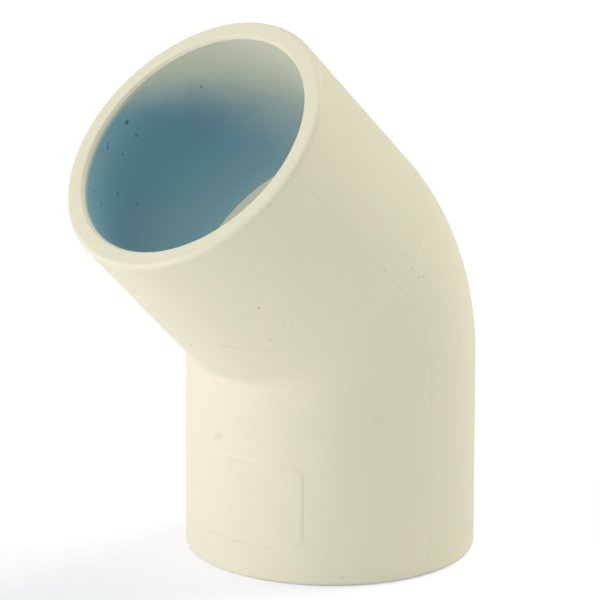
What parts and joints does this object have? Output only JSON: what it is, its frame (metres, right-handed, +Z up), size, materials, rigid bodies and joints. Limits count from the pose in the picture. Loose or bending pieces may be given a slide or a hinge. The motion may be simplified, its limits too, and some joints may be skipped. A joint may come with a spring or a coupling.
{
  "type": "pvc conduit elbow",
  "caption": "Short rigid plastic elbow that turns a conduit run through forty-five degrees, with an equal solvent-weld socket at each end.",
  "frame": {"origin": "centre of the lower socket's mouth", "axes": "+Z up the lower socket's axis into the elbow, -X the side that the upper socket leans to, Y square to the plane of the two axes"},
  "size_m": [0.0578, 0.039, 0.0733],
  "materials": {
    "socket_pvc": "smooth ivory rigid PVC with a soft moulded sheen and a greyer bore",
    "bend_pvc": "smooth ivory rigid PVC with a soft moulded sheen and a greyer cableway"
  },
  "bodies": {
    "root": {"lower_socket": "socket_pvc", "bend": "bend_pvc", "upper_socket": "socket_pvc"}
  },
  "joints": []
}
